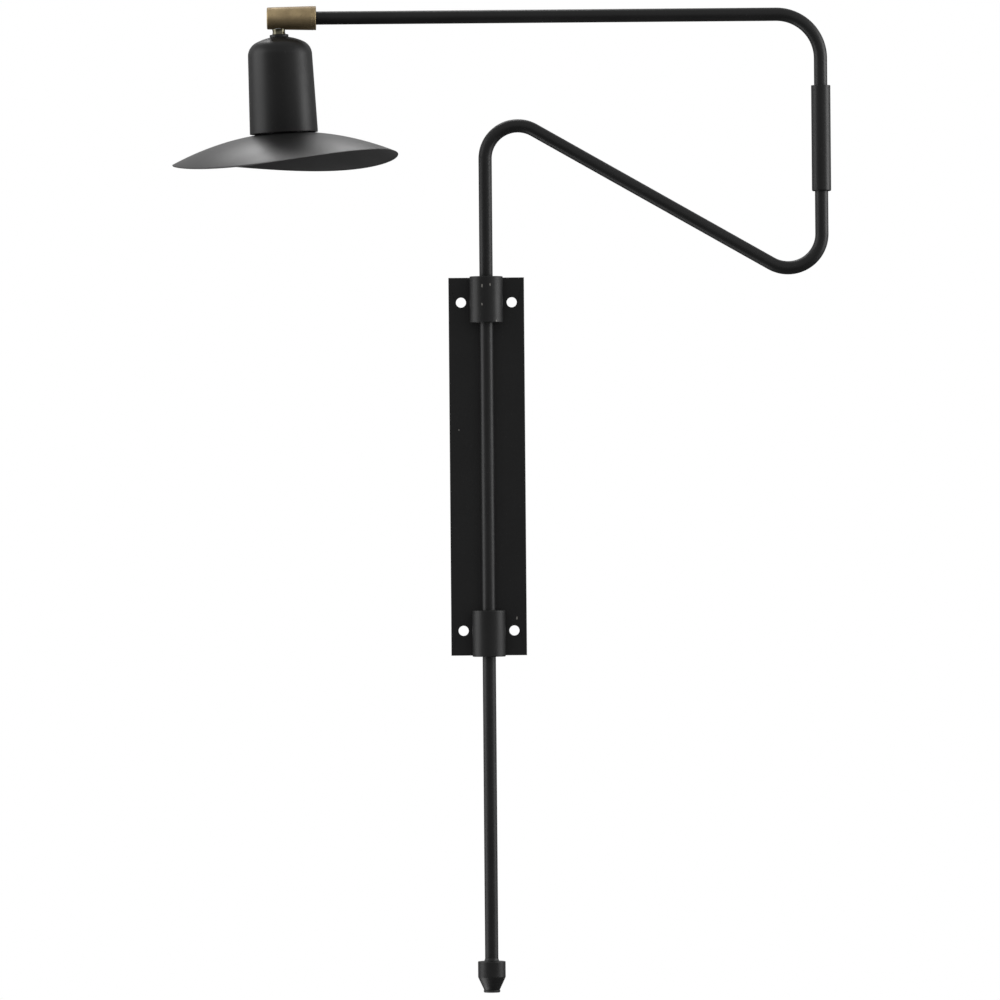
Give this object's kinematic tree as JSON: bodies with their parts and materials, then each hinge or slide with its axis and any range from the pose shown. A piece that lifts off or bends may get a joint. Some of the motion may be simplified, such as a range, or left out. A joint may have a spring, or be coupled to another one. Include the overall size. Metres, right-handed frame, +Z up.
{
  "type": "swing-arm wall lamp",
  "caption": "Wall lamp with a swinging bent tubular arm on a plate-mounted mast and a tilting, turning lamp head with a shallow folded shade.",
  "frame": {"origin": "centre of the wall plate's back face, where it meets the wall", "axes": "+Z up along the mast, +X right as seen from the room, along the lower arm at rest, +Y into the wall"},
  "size_m": [0.6629, 0.2278, 0.994],
  "materials": {
    "satin_black": "satin black powder coat on steel",
    "aged_brass": "turned brass, slightly aged",
    "zinc_steel": "zinc plated",
    "black_steel": "black oxide",
    "bearing_plastic": "natural acetal, as turned",
    "grommet_rubber": "moulded, matt",
    "flex_sheath": "extruded sheath",
    "socket_moulding": "moulded phenolic",
    "contact_brass": "bright pressed brass"
  },
  "bodies": {
    "bracket": {"wall_plate": "satin_black", "upper_collar": "satin_black", "lower_collar": "satin_black", "upper_collar_bush": "bearing_plastic", "lower_collar_bush": "bearing_plastic", "collar_screws": "zinc_steel"},
    "lower_arm": {"mast_coupling": "satin_black", "lower_arm_tube": "satin_black", "mast_tube": "satin_black", "cord_outlet_cap": "satin_black", "cap_grub_screw": "black_steel", "outlet_grommet": "grommet_rubber", "lower_flex": "flex_sheath", "swivel_sleeve": "satin_black", "sleeve_bush": "bearing_plastic", "swivel_thrust_washer": "bearing_plastic", "sleeve_grub_screw": "black_steel", "keeper_screw": "black_steel"},
    "upper_arm": {"upper_arm_tube": "satin_black", "upper_arm_ferrule": "aged_brass", "arm_end_bush": "bearing_plastic", "upper_flex": "flex_sheath"},
    "knuckle": {"brass_barrel": "aged_brass", "barrel_lock_ring": "aged_brass", "barrel_end_plug": "aged_brass", "tilt_grub_screw": "black_steel", "knuckle_lead": "flex_sheath"},
    "head": {"swivel_stud": "zinc_steel", "neck_spacer": "aged_brass", "neck_washer": "satin_black", "head_cup": "satin_black", "cup_inner_washer": "zinc_steel", "cup_lock_nut": "zinc_steel", "socket_cap": "zinc_steel", "socket_body": "socket_moulding", "screw_shell": "contact_brass", "centre_contact": "contact_brass", "terminal_screws": "zinc_steel", "head_lead": "flex_sheath", "lamp_shade": "satin_black", "shade_ring": "satin_black"}
  },
  "joints": [
    {"name": "mast_swivel", "type": "hinge", "parent": "bracket", "child": "lower_arm", "pos_m": [0, -0.0209, 0], "axis": [0, 0, 1], "range_deg": [-180, 0]},
    {"name": "arm_swivel", "type": "hinge", "parent": "lower_arm", "child": "upper_arm", "pos_m": [0.3383, -0.0209, 0.32751], "axis": [0, 0, 1], "range_deg": [-170, 170]},
    {"name": "head_tilt", "type": "hinge", "parent": "upper_arm", "child": "knuckle", "pos_m": [-0.207, -0.0209, 0.45261], "axis": [1, 0, 0], "range_deg": [-90, 90]},
    {"name": "head_spin", "type": "hinge", "parent": "knuckle", "child": "head", "pos_m": [-0.207, -0.0209, 0.45261], "axis": [-0.0419, 0, 0.9991], "range_deg": [-165, 165]}
  ]
}
